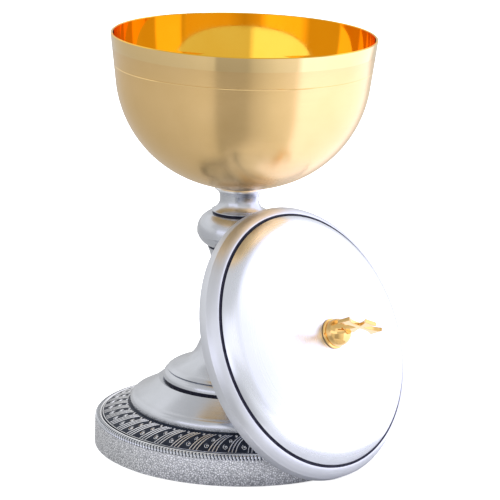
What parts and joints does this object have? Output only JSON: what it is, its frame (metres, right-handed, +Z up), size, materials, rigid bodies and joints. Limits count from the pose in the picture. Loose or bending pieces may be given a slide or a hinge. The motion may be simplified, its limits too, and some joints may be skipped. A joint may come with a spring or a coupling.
{
  "type": "ciborium vessel",
  "caption": "Gilt lidded cup on a silvered turned stem with a knop and a stepped round foot, its domed lid with a cross finial taken off and leaned against the stem.",
  "frame": {"origin": "centre of the standing face of the foot, on the axis of the vessel", "axes": "+Z up along the axis of cup and stem; -Y towards the viewer; the lid leans on the +X, -Y side"},
  "size_m": [0.1419, 0.1441, 0.1919],
  "materials": {
    "gilt_satin": "satin gilt outside, polished inside",
    "gilt_polished": "polished gilt",
    "silver_satin": "silver-plated brass, satin",
    "silver_grained": "silver-plated brass, fine grained texture",
    "silver_milled": "silver-plated brass, milled and darkened in the grooves",
    "relief_silver": "silver relief lines on a black oxidised ground",
    "black_oxide": "black oxidised",
    "steel_fixings": "zinc-plated",
    "felt": "thin felt"
  },
  "bodies": {
    "vessel": {"base_felt": "felt", "base_plate": "black_oxide", "base_wall": "silver_grained", "milled_ring": "silver_milled", "border_ring": "silver_satin", "relief_band": "relief_silver", "foot_bell": "silver_satin", "foot_spacer": "black_oxide", "foot_bead": "silver_satin", "stem_trumpet": "silver_satin", "lower_spacer": "black_oxide", "knop": "silver_satin", "upper_spacer": "black_oxide", "neck_collar": "silver_satin", "neck_ring": "silver_satin", "cup_socket": "gilt_satin", "cup_bowl": "gilt_satin", "tie_rod": "steel_fixings", "rod_washer": "steel_fixings", "rod_nut": "steel_fixings"},
    "lid": {"lid_skirt": "silver_satin", "lid_groove_ring": "black_oxide", "lid_dome": "silver_satin", "finial_boss": "gilt_polished", "finial_cross": "gilt_polished", "finial_stud": "steel_fixings", "finial_washer": "steel_fixings", "finial_nut": "steel_fixings"}
  },
  "joints": [
    {"name": "lid_lift", "type": "slide", "parent": "vessel", "child": "lid", "axis": [0.6828, -0.5999, 0.4171], "range_m": [0, 0.15]}
  ]
}
